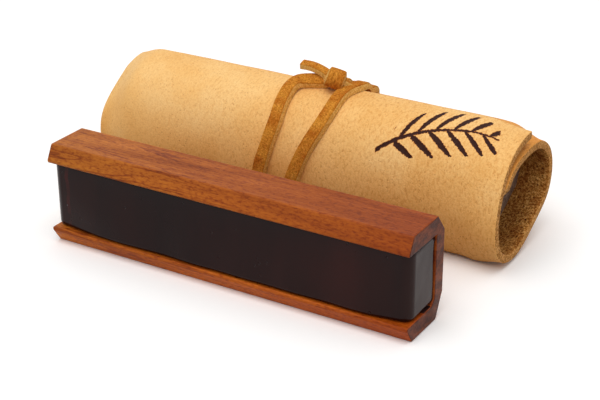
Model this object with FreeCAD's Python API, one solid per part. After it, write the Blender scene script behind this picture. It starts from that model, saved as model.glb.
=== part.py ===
"""Rosin cake in its wooden holder, with the leather wrap that carries a second cake behind it.

The bare cake stands at the front. Behind it lies the wrap: one sheet of leather rolled about one and
a third turns round the second cake, and tied with a flat suede lace.
X runs along the holders, Y from the open side of the front holder to the wrap, and Z is up.
The origin is the middle of the flat base of the front holder.
"""
import FreeCAD, Part
import math
import os

from FreeCAD import Placement, Rotation, Vector

# Wooden holder: an eight-sided bar, cut to a channel that is open to the front.
HOLDER_LENGTH = 95.0
HOLDER_HEIGHT = 25.0
HOLDER_DEPTH = 16.4
BACK_WALL = 3.9
ARM_WALL = 4.2
TOP_LIP_RUN = 1.8
TOP_LIP_DROP = 3.5
BASE_LIP_RUN = 2.2
BASE_LIP_RISE = 3.4
TOP_BACK_RUN = 3.3
TOP_BACK_DROP = 4.2
BASE_BACK_RUN = 2.9
BASE_BACK_RISE = 5.8
CHANNEL_CORNER = 1.3

# Rosin bar, cast into the channel.
ROSIN_SETBACK = 1.6
ROSIN_LEFT_RECESS = 0.1
ROSIN_RIGHT_RECESS = 0.4
ROSIN_END_RADIUS = 2.4
ROSIN_EDGE_RADIUS = 1.2

# Leather wrap: a spiral round the second cake.
LEATHER_THICKNESS = 1.4
LAYER_GAP = 0.2
WRAP_DISTANCE = 35.6  # from the back of the front holder to the middle of the roll
WRAP_SHIFT = -3.8  # of the second cake along X from the first
LEFT_OVERHANG = 12.1
RIGHT_OVERHANG = 7.3
FLAP_CORNER_CUT = 2.8  # how far the outer flap's left corner is trimmed back
FLAP_CORNER_SPAN = 96.0  # the turn over which it is trimmed
FLAP_ANGLE = 84.0  # of the sheet's outer edge, from +Y towards +Z
INNER_ANGLE = 526.0  # of its inner edge, further round the same spiral
STEP_START = 255.0  # here the sheet starts to pass inward
STEP_END = 440.0  # and here it lies under the flap
EDGE_SKEW = 0.3  # how far the roll's end edges creep along X in a turn

# The second cake lies on its back in the roll, and leans.
CAKE_LEAN = 28.0
CAKE_OFFSET_Y = 1.0  # from the middle of the roll
CAKE_OFFSET_Z = -2.4

# Room between the cake's reach and the roll's two layers, every 45 degrees from +Y. It is less than
# nothing where the sheet bends round a bevelled corner of the holder.
MIDDLE_ROOM = (0.45, 1.25, 3.3, 5.0, 0.45, -0.05, -0.95, -0.95)
RIGHT_ROOM = (0.25, 1.25, 2.7, 4.4, 0.95, 1.1, -0.85, -1.25)
LEFT_ROOM = (-1.75, -1.05, 2.3, 1.9, -0.45, -1.35, -2.55, -2.55)
RIGHT_SAG = 0.8  # of the roll's middle at its right mouth
LEFT_SAG = 2.6
LEFT_SWING = 2.5  # of the roll's middle in Y at its left mouth
RIGHT_SAG_LENGTH = 12.0  # from the roll's end, over which its outline changes
LEFT_SAG_LENGTH = 12.0

# Suede lace: two turns round the roll, a knot on top and a free tail.
LACE_WIDTH = 2.9
LACE_THICKNESS = 1.0
LACE_CLEARANCE = 0.2
LACE_TILT_ROOM = 0.2  # under the roll, where the lace's edges tilt
LACE_BRIDGE_SPAN = 50.0  # of turn, over which the lace leaves the flap for the layer under it
CROSSING_START = 645.0  # over this stretch of the route one turn rides over the other
CROSSING_END = 795.0
CROSSING_RAMP = 35.0
CROSSING_GAP = 0.1
KNOT_RADIUS = 2.6
KNOT_WIDTH = 5.0
KNOT_EDGE = 1.0  # bevel of its rims
TAIL_LENGTH = 6.0  # from the knot's side to the cut end
TAIL_CROWN = 0.7  # how far the tail arches
TAIL_LEAN = 35.0  # of the tail's flat side, back from the front
TAIL_RISE = 0.3  # of the tail over the knot's middle
TAIL_STEPS = 8

# The lace's route: angle round the roll, and distance along X from the middle of the holders.
LACE_ROUTE = (
    (93.0, -1.0),
    (97.0, -4.6),
    (103.0, -7.8),
    (116.0, -8.9),
    (145.0, -8.5),
    (165.0, -9.4),
    (205.0, -12.2),
    (270.0, -12.5),
    (360.0, -2.0),
    (430.0, 6.2),
    (446.0, 5.7),
    (462.0, 4.6),
    (496.0, 4.0),
    (532.0, 0.0),
    (565.0, -3.2),
    (630.0, -5.0),
    (720.0, -1.0),
    (808.0, 1.3),
)

BASE_MIDDLE = (BASE_LIP_RUN + HOLDER_DEPTH - BASE_BACK_RUN) / 2
WRAP_MIDDLE_Y = HOLDER_DEPTH + WRAP_DISTANCE - BASE_MIDDLE
SAG_STEPS = 4  # strips of the roll's surface over each sagging end
SHEET_STEPS = 44  # points round the spiral
LACE_STEPS = 72  # sections along the wound lace
DIRECTIONS = 8  # of the room round the cake


def smooth(value):
    """0 below 0, 1 above 1, and an even S between."""
    value = min(1.0, max(0.0, value))
    return value * value * (3 - 2 * value)


def polygon(points):
    """Flat face in the YZ plane from (y, z) corners."""
    corners = [Vector(0, y, z) for y, z in points]
    return Part.Face(Part.makePolygon(corners + corners[:1]))


def holder_outline():
    """Corners of the eight-sided bar, with the open side at y = 0 and the base at z = 0."""
    return [
        (0, HOLDER_HEIGHT - TOP_LIP_DROP),
        (TOP_LIP_RUN, HOLDER_HEIGHT),
        (HOLDER_DEPTH - TOP_BACK_RUN, HOLDER_HEIGHT),
        (HOLDER_DEPTH, HOLDER_HEIGHT - TOP_BACK_DROP),
        (HOLDER_DEPTH, BASE_BACK_RISE),
        (HOLDER_DEPTH - BASE_BACK_RUN, 0),
        (BASE_LIP_RUN, 0),
        (0, BASE_LIP_RISE),
    ]


def channel_outline(front):
    """Corners of the channel's section from y = front to its back wall."""
    back = HOLDER_DEPTH - BACK_WALL
    low = ARM_WALL
    high = HOLDER_HEIGHT - ARM_WALL
    return [
        (front, low),
        (back - CHANNEL_CORNER, low),
        (back, low + CHANNEL_CORNER),
        (back, high),
        (front, high),
    ]


def make_holder():
    """Channel of wood, centred on X."""
    along = Vector(HOLDER_LENGTH, 0, 0)
    bar = polygon(holder_outline()).extrude(along)
    channel = polygon(channel_outline(-1.0)).extrude(along)
    holder = bar.cut(channel)
    holder.translate(Vector(-HOLDER_LENGTH / 2, 0, 0))
    return holder


def make_rosin():
    """Rosin bar that fills the channel up to its set-back face."""
    length = HOLDER_LENGTH - ROSIN_LEFT_RECESS - ROSIN_RIGHT_RECESS
    rosin = polygon(channel_outline(ROSIN_SETBACK)).extrude(Vector(length, 0, 0))
    uprights = []
    sills = []
    for edge in rosin.Edges:
        box = edge.BoundBox
        if box.YMax > ROSIN_SETBACK + 0.01:
            continue
        if box.ZLength > 1:
            uprights.append(edge)
        else:
            sills.append(edge)
    rosin = rosin.makeFillet(ROSIN_END_RADIUS, uprights)
    sills = [
        edge
        for edge in rosin.Edges
        if edge.BoundBox.ZLength < 0.01 and edge.BoundBox.YMin < ROSIN_SETBACK + 0.01
        and edge.BoundBox.XLength > ROSIN_END_RADIUS * 2
    ]
    rosin = rosin.makeFillet(ROSIN_EDGE_RADIUS, sills)
    rosin.translate(Vector(ROSIN_LEFT_RECESS - HOLDER_LENGTH / 2, 0, 0))
    return rosin


def lay_in_roll(shape):
    """Moves a piece of an upright cake to where the second cake lies in the roll."""
    centre = Vector(0, HOLDER_DEPTH / 2, HOLDER_HEIGHT / 2)
    turn = Rotation(Vector(1, 0, 0), CAKE_LEAN - 90)
    place = Vector(WRAP_SHIFT, WRAP_MIDDLE_Y + CAKE_OFFSET_Y, ROLL_HEIGHT + CAKE_OFFSET_Z)
    laid = shape.copy()
    laid.Placement = Placement(place - turn.multVec(centre), turn).multiply(shape.Placement)
    return laid


def cake_reach(angle):
    """How far the second cake reaches from the middle of the roll in one direction."""
    lean = math.radians(CAKE_LEAN - 90)
    reach = 0
    for y, z in holder_outline():
        across = y - HOLDER_DEPTH / 2
        up = z - HOLDER_HEIGHT / 2
        side = CAKE_OFFSET_Y + across * math.cos(lean) - up * math.sin(lean)
        rise = CAKE_OFFSET_Z + across * math.sin(lean) + up * math.cos(lean)
        reach = max(reach, side * math.cos(angle) + rise * math.sin(angle))
    return reach


def outline_waves(room):
    """Harmonics of the roll's radius that pass through the cake's reach plus the room round it."""
    angles = [2 * math.pi * step / DIRECTIONS for step in range(DIRECTIONS)]
    radii = [cake_reach(a) + 2 * LEATHER_THICKNESS + gap for a, gap in zip(angles, room)]
    waves = []
    for order in range(DIRECTIONS // 2 + 1):
        share = 1 if order in (0, DIRECTIONS // 2) else 2
        cosine = sum(r * math.cos(order * a) for r, a in zip(radii, angles)) * share / DIRECTIONS
        sine = sum(r * math.sin(order * a) for r, a in zip(radii, angles)) * share / DIRECTIONS
        waves.append((cosine, sine))
    return waves


MIDDLE_WAVES = outline_waves(MIDDLE_ROOM)
RIGHT_WAVES = outline_waves(RIGHT_ROOM)
LEFT_WAVES = outline_waves(LEFT_ROOM)


def wave_radius(waves, angle):
    """Radius in one direction, in radians from +Y."""
    return sum(c * math.cos(k * angle) + s * math.sin(k * angle) for k, (c, s) in enumerate(waves))


LOWEST = min(
    wave_radius(MIDDLE_WAVES, math.radians(a)) * math.sin(math.radians(a)) for a in range(180, 360)
)
ROLL_HEIGHT = LACE_THICKNESS + LACE_CLEARANCE + LACE_TILT_ROOM - LOWEST  # of the roll's middle


def sheet_inset(angle):
    """How far the sheet has passed in from the roll's outline, by its angle along the spiral."""
    share = smooth((angle - STEP_START) / (STEP_END - STEP_START))
    return share * (LEATHER_THICKNESS + LAYER_GAP)


def lace_inset(angle):
    """The same for the lace, which bridges the step at the flap's edge."""
    bridge = smooth((STEP_END - angle) / LACE_BRIDGE_SPAN)
    return sheet_inset(angle) * bridge


def roll_point(along, angle, inset):
    """Point of the roll's section: along X from the middle of the second cake, angle in degrees."""
    right = smooth(1 + (along - HOLDER_LENGTH / 2 - RIGHT_OVERHANG) / RIGHT_SAG_LENGTH)
    left = smooth(1 - (along + HOLDER_LENGTH / 2 + LEFT_OVERHANG) / LEFT_SAG_LENGTH)
    turn = math.radians(angle)
    middle = wave_radius(MIDDLE_WAVES, turn)
    radius = middle - inset
    radius += right * (wave_radius(RIGHT_WAVES, turn) - middle)
    radius += left * (wave_radius(LEFT_WAVES, turn) - middle)
    y = WRAP_MIDDLE_Y + LEFT_SWING * left + radius * math.cos(turn)
    z = ROLL_HEIGHT - RIGHT_SAG * right - LEFT_SAG * left + radius * math.sin(turn)
    return Vector(WRAP_SHIFT + along, y, z)


def roll_normal(along, angle, inset_of):
    """Outward direction in the roll's section."""
    before = roll_point(along, angle - 1, inset_of(angle - 1))
    after = roll_point(along, angle + 1, inset_of(angle + 1))
    run = after - before
    return Vector(0, run.z, -run.y).normalize()


def sheet_stations():
    """Places along the sheet, as shares of its width, closer together where the roll sags."""
    width = HOLDER_LENGTH + LEFT_OVERHANG + RIGHT_OVERHANG
    left = LEFT_SAG_LENGTH / width
    right = RIGHT_SAG_LENGTH / width
    shares = [left * step / SAG_STEPS for step in range(SAG_STEPS + 1)]
    shares += [1 - right * (SAG_STEPS - step) / SAG_STEPS for step in range(SAG_STEPS + 1)]
    return shares


def sheet_curve(share, depth):
    """Spiral round the roll at one place along the sheet, the given depth under its outer side."""
    points = []
    for ring in range(SHEET_STEPS + 1):
        angle = FLAP_ANGLE + (INNER_ANGLE - FLAP_ANGLE) * ring / SHEET_STEPS
        skew = EDGE_SKEW * (angle - FLAP_ANGLE) / 360
        trim = FLAP_CORNER_CUT * (1 - smooth((angle - FLAP_ANGLE) / FLAP_CORNER_SPAN))
        start = -HOLDER_LENGTH / 2 - LEFT_OVERHANG + trim + skew
        end = HOLDER_LENGTH / 2 + RIGHT_OVERHANG + skew
        along = start + (end - start) * share
        point = roll_point(along, angle, sheet_inset(angle))
        points.append(point - roll_normal(along, angle, sheet_inset) * depth)
    spiral = Part.BSplineCurve()
    spiral.interpolate(points)
    return spiral.toShape()


def make_wrap():
    """The rolled sheet: ruled strips of its outer and inner skin, and its four cut edges."""
    outer = [sheet_curve(share, 0) for share in sheet_stations()]
    inner = [sheet_curve(share, LEATHER_THICKNESS) for share in sheet_stations()]
    faces = [Part.makeRuledSurface(outer[end], inner[end]) for end in (0, -1)]
    for skin in (outer, inner):
        faces += [Part.makeRuledSurface(before, after) for before, after in zip(skin, skin[1:])]
    for edge in ("FirstParameter", "LastParameter"):
        for place in range(len(outer) - 1):
            corners = [
                curve.valueAt(getattr(curve, edge))
                for curve in (outer[place], outer[place + 1], inner[place + 1], inner[place])
            ]
            top = Part.makeLine(corners[0], corners[1])
            bottom = Part.makeLine(corners[3], corners[2])
            faces.append(Part.makeRuledSurface(top, bottom))
    shell = Part.makeShell(faces)
    shell.sewShape()
    solid = Part.makeSolid(shell)
    if solid.Volume < 0:
        solid.reverse()
    return solid


def strip(centres, normals, width, thickness):
    """Flat band along a row of points, its flat side facing along the normals."""
    last = len(centres) - 1
    sections = []
    for place, (centre, normal) in enumerate(zip(centres, normals)):
        run = centres[min(place + 1, last)] - centres[max(place - 1, 0)]
        side = run.cross(normal).normalize() * (width / 2)
        face = side.cross(run).normalize() * (thickness / 2)
        ring = [centre + side + face, centre - side + face, centre - side - face, centre + side - face]
        sections.append(Part.makePolygon(ring + ring[:1]))
    return Part.makeLoft(sections, True, False)


def route_place(angle):
    """The lace's distance along X at an angle of its route, on a smooth curve through the list."""
    span = 0
    while span < len(LACE_ROUTE) - 2 and angle > LACE_ROUTE[span + 1][0]:
        span += 1
    before = LACE_ROUTE[max(span - 1, 0)]
    (a0, x0), (a1, x1) = LACE_ROUTE[span], LACE_ROUTE[span + 1]
    after = LACE_ROUTE[min(span + 2, len(LACE_ROUTE) - 1)]
    slope0 = (x1 - before[1]) / (a1 - before[0])
    slope1 = (after[1] - x0) / (after[0] - a0)
    t = (angle - a0) / (a1 - a0)
    ease0 = (1 + 2 * t) * (1 - t) ** 2 * x0 + t * (1 - t) ** 2 * (a1 - a0) * slope0
    ease1 = t * t * (3 - 2 * t) * x1 + t * t * (t - 1) * (a1 - a0) * slope1
    return ease0 + ease1


def lace_crossing(angle):
    """Extra height where the second turn rides over the first."""
    rise = smooth((angle - CROSSING_START) / CROSSING_RAMP)
    fall = smooth((CROSSING_END - angle) / CROSSING_RAMP)
    return rise * fall * (LACE_THICKNESS + CROSSING_GAP)


def lace_point(angle):
    """Middle of the lace on its way round the roll, and the way it faces."""
    turn = angle % 360 if angle % 360 > FLAP_ANGLE else angle % 360 + 360
    along = route_place(angle) - WRAP_SHIFT
    normal = roll_normal(along, turn, lace_inset)
    height = LACE_CLEARANCE + LACE_THICKNESS / 2 + lace_crossing(angle)
    return roll_point(along, turn, lace_inset(turn)) + normal * height, normal


def even_angles():
    """Angles of the lace's route that lie evenly spaced along its length."""
    start, end = LACE_ROUTE[0][0], LACE_ROUTE[-1][0]
    fine = [start + step for step in range(int(end - start))] + [end]
    lengths = [0.0]
    for before, after in zip(fine, fine[1:]):
        lengths.append(lengths[-1] + (lace_point(after)[0] - lace_point(before)[0]).Length)
    angles = []
    place = 0
    for step in range(LACE_STEPS):
        wanted = lengths[-1] * step / LACE_STEPS
        while lengths[place + 1] < wanted:
            place += 1
        share = (wanted - lengths[place]) / (lengths[place + 1] - lengths[place])
        angles.append(fine[place] + (fine[place + 1] - fine[place]) * share)
    return angles + [end]


def make_lace():
    """Two turns of lace, the knot that joins them and the free tail."""
    path = [lace_point(angle) for angle in even_angles()]
    turns = strip([p for p, n in path], [n for p, n in path], LACE_WIDTH, LACE_THICKNESS)

    top, facing = path[0]
    bottom, _ = path[-1]
    heart = (top + bottom) * 0.5 + facing * (KNOT_RADIUS - LACE_THICKNESS / 2)
    foot = heart - Vector(KNOT_WIDTH / 2, 0, 0)
    knot = Part.makeCylinder(KNOT_RADIUS, KNOT_WIDTH, foot, Vector(1, 0, 0))
    rims = [edge for edge in knot.Edges if isinstance(edge.Curve, Part.Circle)]
    knot = knot.makeChamfer(KNOT_EDGE, rims)

    lean = math.radians(TAIL_LEAN)
    side = Vector(0, -math.cos(lean), math.sin(lean))
    length = TAIL_LENGTH + KNOT_WIDTH / 2
    centres = []
    for step in range(TAIL_STEPS + 1):
        share = step / TAIL_STEPS
        arch = TAIL_CROWN * (1 - (2 * share - 1) ** 2)
        centres.append(heart + Vector(-length * share, 0, arch + TAIL_RISE))
    tail = strip(centres, [side] * len(centres), LACE_WIDTH, LACE_THICKNESS)
    return knot.fuse([turns, tail]).removeSplitter()


def export(name, shape):
    shape.exportStep(os.path.join("parts", name + ".step"))


def main():
    os.makedirs("parts", exist_ok=True)
    holder = make_holder()
    rosin = make_rosin()
    front = Placement(Vector(0, -BASE_MIDDLE, 0), Rotation())
    for name, piece in (("cake_holder", holder), ("cake_rosin", rosin)):
        placed = piece.copy()
        placed.Placement = front.multiply(piece.Placement)
        export(name, placed)
    for name, piece in (("wrapped_holder", holder), ("wrapped_rosin", rosin)):
        export(name, lay_in_roll(piece))
    export("leather_wrap", make_wrap())
    export("tie_lace", make_lace())


main()
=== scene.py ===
"""Rosin cake in its wooden holder, before a leather wrap that is rolled round a second cake and tied.

Lengths in the functions below are in millimetres, and MM turns them to Blender's metres.
"""

import math

import bmesh
import bpy
from mathutils import Matrix, Vector, noise


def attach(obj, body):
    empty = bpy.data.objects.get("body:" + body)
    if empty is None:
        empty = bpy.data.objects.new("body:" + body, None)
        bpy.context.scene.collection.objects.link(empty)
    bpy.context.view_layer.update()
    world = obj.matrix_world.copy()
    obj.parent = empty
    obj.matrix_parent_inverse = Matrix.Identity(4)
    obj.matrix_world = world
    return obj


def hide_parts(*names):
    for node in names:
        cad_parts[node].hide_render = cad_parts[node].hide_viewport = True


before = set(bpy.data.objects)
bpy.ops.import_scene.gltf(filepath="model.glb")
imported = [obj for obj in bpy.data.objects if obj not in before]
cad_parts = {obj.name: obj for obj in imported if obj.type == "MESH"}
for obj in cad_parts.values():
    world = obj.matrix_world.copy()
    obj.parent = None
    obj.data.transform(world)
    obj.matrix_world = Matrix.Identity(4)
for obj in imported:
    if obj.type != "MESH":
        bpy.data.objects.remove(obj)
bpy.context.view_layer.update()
scene = bpy.context.scene
MM = 0.001

# Holders, as the solids have them.
HOLDER_LENGTH = 95.0
HOLDER_HEIGHT = 25.0
HOLDER_DEPTH = 16.4
HOLDER_OUTLINE = ((0, 21.5), (1.8, 25), (13.1, 25), (16.4, 20.8), (16.4, 5.8), (13.5, 0), (2.2, 0), (0, 3.4))
HOLDER_EASE = 0.35  # the sanded rounding of the wood's edges
EASE_SEGMENTS = 3

# Front rosin bar: it crowns forward as it set, low down and away from its ends.
ROSIN_SWELL = 1.25  # how far its face crowns forward
SWELL_START = 3.2  # the height where the crown starts, a little under the sill's top
SWELL_FOOT_RUN = 1.5  # the height over which it rises
SWELL_LEFT_RUN = 14.0  # from the holder's ends, over which it rises
SWELL_RIGHT_RUN = 12.0
SWELL_BACK = 1.6  # the Y up to which the bar moves forward whole
SWELL_DEPTH = 3.0  # behind that, over which the swell dies away
SWELL_WAVE = 0.35  # how far it waves along the bar
SWELL_WAVE_LENGTH = 11.0
SWELL_SLICE = 2.0  # between the cuts across the bar that let it bend
SWELL_LAYERS = 18  # of the holder's height, whose bounds from the 3rd to the 15th are cuts along it
ROSIN_CORNER = 1.3  # the rounding of the bar's upright back corners
CORNER_SEGMENTS = 4
THREAD_X = -42.0  # where a thin red flow line shows in the rosin

# Roll, as the solids have it: a spiral of leather round the second cake.
LEATHER_THICKNESS = 1.4
LAYER_GAP = 0.2
ROLL_X = -3.8
ROLL_Y = 44.15
LEFT_OVERHANG = 12.1
RIGHT_OVERHANG = 7.3
FLAP_CORNER_CUT = 2.8  # how far the outer flap's left corner is trimmed back
FLAP_CORNER_SPAN = 96.0  # the turn over which it is trimmed
FLAP_ANGLE = 84.0  # of the sheet's outer edge, in degrees from +Y towards +Z
INNER_ANGLE = 526.0  # of its inner edge, further round the same spiral
STEP_START = 255.0  # here the sheet starts to pass inward
STEP_END = 440.0  # and here it lies under the flap
EDGE_SKEW = 0.3  # how far the roll's end edges creep along X in a turn
CAKE_LEAN = 28.0
CAKE_OFFSET_Y = 1.0  # from the middle of the roll
CAKE_OFFSET_Z = -2.4

# Room between the second cake's reach and the roll's two layers, every 45 degrees from +Y, in the middle
# and at each mouth, and how far the mouths sag and swing.
MIDDLE_ROOM = (0.45, 1.25, 3.3, 5.0, 0.45, -0.05, -0.95, -0.95)
RIGHT_ROOM = (0.25, 1.25, 2.7, 4.4, 0.95, 1.1, -0.85, -1.25)
LEFT_ROOM = (-1.75, -1.05, 2.3, 1.9, -0.45, -1.35, -2.55, -2.55)
RIGHT_SAG = 0.8
LEFT_SAG = 2.6
LEFT_SWING = 2.5
RIGHT_SAG_LENGTH = 12.0
LEFT_SAG_LENGTH = 12.0

# What the soft sheet does besides.
REST_SAG = 2.3  # how far it sinks to the table on each side of the lace under it
SAG_LEFT_RUN = 12.0  # beside the lace, over which it sinks
SAG_RIGHT_RUN = 4.0
TABLE_GAP = 0.1
LOW_SIDE = 0.25  # the sine of the angle below level at which its lower side starts
LOW_SIDE_RUN = 0.7
MOUTH_CURL = 0.7  # how far its lower side curls up at the right mouth
CURL_LENGTH = 9.0
MOUTH_DROOP = 2.2  # how far the inner layer falls in at the right mouth, past the second cake
DROOP_LENGTH = 8.5
DROOP_START = 330.0  # round the spiral, with the turn over which the droop grows
DROOP_RISE = 75.0
DROOP_END = 545.0
DROOP_FALL = 90.0
INNER_CORNER = 1.2  # how far the inner corner at the right mouth is worn round
INNER_CORNER_SPAN = 13.0
DENT = 0.12  # the measure of its shallow dents
DENT_LENGTH = 13.0
RIM_THICKNESS = 2.0  # the leather at the right mouth, where its cut edge has fluffed out
RIM_LENGTH = 5.0
EDGE_WEAR = 0.3  # the rounding of its cut edges
SHEET_ACROSS = 128  # faces along X
SHEET_AROUND = 132  # and round the spiral
SPIRAL_STEPS = 1600  # for measuring the spiral's length

# Lace.
LACE_WIDTH = 2.9
LACE_THICKNESS = 1.0  # where the roll's weight presses it flat
LACE_LOFT = 1.6  # its thickness elsewhere
LACE_CLEARANCE = 0.2
FREE_DROP = 0.6  # the share of it that the lace gives up away from the table
LACE_TILT_ROOM = 0.2  # under the roll, where the lace's edges tilt
PRESSED_FACING = 0.85  # how squarely the lace faces down where the roll presses it
PRESSED_RUN = 0.4
LACE_BRIDGE_SPAN = 9.0  # of turn, over which the lace leaves the flap for the layer under it
CROSSING_START = 645.0  # over this stretch of the route one turn rides over the other
CROSSING_END = 768.0
CROSSING_RAMP = 35.0
CROSSING_FALL = 22.0
CROSSING_GAP = 0.1
LACE_STEPS = 420
LACE_WAVE = 0.05  # how much its width wavers, as a share
LACE_WAVE_LENGTH = 4.0
LACE_REACH = (-15.0, 31.5)  # the stretch of the roll under which the lace can slide

# The lace's route: angle round the roll, and distance along X from the middle of the front holder.
LACE_ROUTE = (
    (93.0, -1.0), (97.0, -4.6), (103.0, -7.8), (116.0, -8.9), (145.0, -8.5), (165.0, -9.4), (205.0, -12.2),
    (270.0, -12.5), (360.0, -1.3), (395.0, 3.2), (430.0, 6.2), (446.0, 5.7), (462.0, 4.6), (496.0, 4.0),
    (532.0, 0.0), (565.0, -3.2), (630.0, -5.0), (720.0, -2.1), (765.0, -0.3), (808.0, 1.3),
)
START_LIFT = 1.0  # how far the lace rises off the leather where it runs into the knot
START_LIFT_ANGLE = 126.0
START_TILT = 36.0  # and how far it turns its face forward there

# Its section: the place across and up, as shares of half its width and of its thickness, from one lower
# corner over the top. The knife leant, so its sides slope out.
LACE_SECTION = (
    (1.26, 0.0), (1.22, 0.30), (1.06, 0.86), (0.96, 0.98), (0.5, 1.03), (0.0, 1.05), (-0.5, 1.03),
    (-0.96, 0.98), (-1.06, 0.86), (-1.22, 0.30), (-1.26, 0.0), (0.0, 0.0),
)
LACE_SIDES = (0, 1, 8, 9)  # the stretches of the section that the knife left bare
LACE_GIRTH = 2.4  # the way round the section, in widths

# Knot: a band of lace round the knot's own middle, the piece that runs through it and the tail.
KNOT_FROM_STRANDS = (1.3, -2.0, 2.25)  # its middle, from between the two ends of the wound lace
KNOT_LEAN = 20.0  # the band's turn in degrees about Y
KNOT_TWIST = 22.0  # and about Z
KNOT_STEPS = 60
KNOT_START = -100.0  # where round its middle the band starts, below, and how far it turns
KNOT_SWEEP = 356.0
KNOT_CORE = 1.4  # radius of its under side
KNOT_PINCH = 0.12  # how far that is from round, as a share
KNOT_PINCH_TURN = 0.6  # where, in radians
KNOT_FLATTENING = 0.75  # of its lower half, which is pressed on the roll
KNOT_DRIFT = 0.5  # how far it creeps sideways in its turn
KNOT_LACE_WIDTH = 3.7
KNOT_LACE_THICKNESS = 1.3
CORE_WIDTH = 2.0
CORE_THICKNESS = 1.4
CORE_FACING = (0, 0.2, 1)
CORE_LINE = ((-4.6, 1.2, -1.3), (-2.8, 0.8, -0.9), (-1.2, 0.3, -0.3), (0.4, 0.3, -0.1), (1.7, 0.8, -0.6),
             (3.0, 1.6, -1.5))
TAIL_WIDTH = 2.1
TAIL_THICKNESS = 1.3
TAIL_SINK = 0.6  # how far its under side lies below its line
TAIL_LINE = ((1.0, 0.8, -0.6), (-1.8, 0.9, 0.0), (-4.2, 1.0, 1.0), (-7.0, 1.0, 1.7), (-9.9, 1.0, 1.7))
TAIL_FACING = (0.0, -0.25, 0.97)
TAIL_STEPS = 24

# Sprig burned into the leather: its middle on the flat cut, from the second cake's middle and the flap's
# edge, its turn in degrees, its length and how far its leaflets reach.
SPRIG_CENTRE = (37.5, 11.6)
SPRIG_TURN = -17.0
SPRIG_LENGTH = 26.0
SPRIG_REACH = 6.6
LEAFLET_SPACING = 4.2

# Studio: the camera, in degrees and millimetres, and the light from all round.
CAMERA_AZIMUTH = 31.24
CAMERA_ELEVATION = 25.24
CAMERA_ROLL = -0.25
CAMERA_PLACE = (164.07, -242.86, 157.31)
CAMERA_LENS = 87.18
CAMERA_SENSOR = 36.0
DAYLIGHT = 0.58
PAPER_SIZE = 3.0  # half a side of the floor, in metres
PAPER_FADE = (0.22, 0.5)  # the distance over which it turns to plain white, in metres

MULTIPLY = {"data_type": "RGBA", "blend_type": "MULTIPLY"}


# ---------------------------------------------------------------- the roll's shape

def smooth(value):
    """0 below 0, 1 above 1, and an even S between."""
    value = min(1.0, max(0.0, value))
    return value * value * (3 - 2 * value)


def cake_reach(angle):
    """How far the second cake reaches from the roll's middle in one direction."""
    lean = math.radians(CAKE_LEAN - 90)
    reach = 0
    for y, z in HOLDER_OUTLINE:
        across, up = y - HOLDER_DEPTH / 2, z - HOLDER_HEIGHT / 2
        side = CAKE_OFFSET_Y + across * math.cos(lean) - up * math.sin(lean)
        rise = CAKE_OFFSET_Z + across * math.sin(lean) + up * math.cos(lean)
        reach = max(reach, side * math.cos(angle) + rise * math.sin(angle))
    return reach


def outline_waves(room):
    """Harmonics of a closed outline through the cake's reach and the room round it."""
    count = len(room)
    angles = [2 * math.pi * step / count for step in range(count)]
    radii = [cake_reach(a) + 2 * LEATHER_THICKNESS + gap for a, gap in zip(angles, room)]
    waves = []
    for order in range(count // 2 + 1):
        share = (1 if order in (0, count // 2) else 2) / count
        cosine = sum(r * math.cos(order * a) for r, a in zip(radii, angles)) * share
        sine = sum(r * math.sin(order * a) for r, a in zip(radii, angles)) * share
        waves.append((cosine, sine))
    return waves


MIDDLE_WAVES = outline_waves(MIDDLE_ROOM)
RIGHT_WAVES = outline_waves(RIGHT_ROOM)
LEFT_WAVES = outline_waves(LEFT_ROOM)


def wave_radius(waves, angle):
    """The outline's radius in one direction, in radians."""
    return sum(c * math.cos(k * angle) + s * math.sin(k * angle) for k, (c, s) in enumerate(waves))


ROLL_Z = LACE_THICKNESS + LACE_CLEARANCE + LACE_TILT_ROOM - min(
    wave_radius(MIDDLE_WAVES, math.radians(a)) * math.sin(math.radians(a)) for a in range(180, 360)
)


def sheet_inset(angle):
    """How far the sheet has passed inward at an angle of its spiral."""
    return smooth((angle - STEP_START) / (STEP_END - STEP_START)) * (LEATHER_THICKNESS + LAYER_GAP)


def soft_inset(along, angle):
    """The sheet's own inset, which grows where the inner layer hangs free at the right mouth."""
    free = smooth(1 + (along - HOLDER_LENGTH / 2 - RIGHT_OVERHANG) / DROOP_LENGTH)
    grown = smooth((angle - DROOP_START) / DROOP_RISE) * smooth((DROOP_END - angle) / DROOP_FALL)
    return sheet_inset(angle) + MOUTH_DROOP * free * grown


def resting_point(along, angle, inset):
    """Point of the sheet, which sinks to the table on each side of the lace that runs under it and curls
    up again at the right mouth."""
    place = roll_point(along, angle, inset)
    left, right = LACE_REACH
    beside = smooth((left - place.x) / SAG_LEFT_RUN) + smooth((place.x - right) / SAG_RIGHT_RUN)
    under = smooth((-math.sin(math.radians(angle)) - LOW_SIDE) / LOW_SIDE_RUN)
    mouth = smooth(1 + (along - HOLDER_LENGTH / 2 - RIGHT_OVERHANG) / CURL_LENGTH)
    place.z -= min(REST_SAG * beside * under * (1 - mouth), max(0, place.z - TABLE_GAP))
    place.z += MOUTH_CURL * mouth * under
    return place


def lace_inset(angle):
    """The sheet's inset as the lace follows it, bridging the step at the flap's edge."""
    return sheet_inset(angle) * smooth((STEP_END - angle) / LACE_BRIDGE_SPAN)


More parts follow.
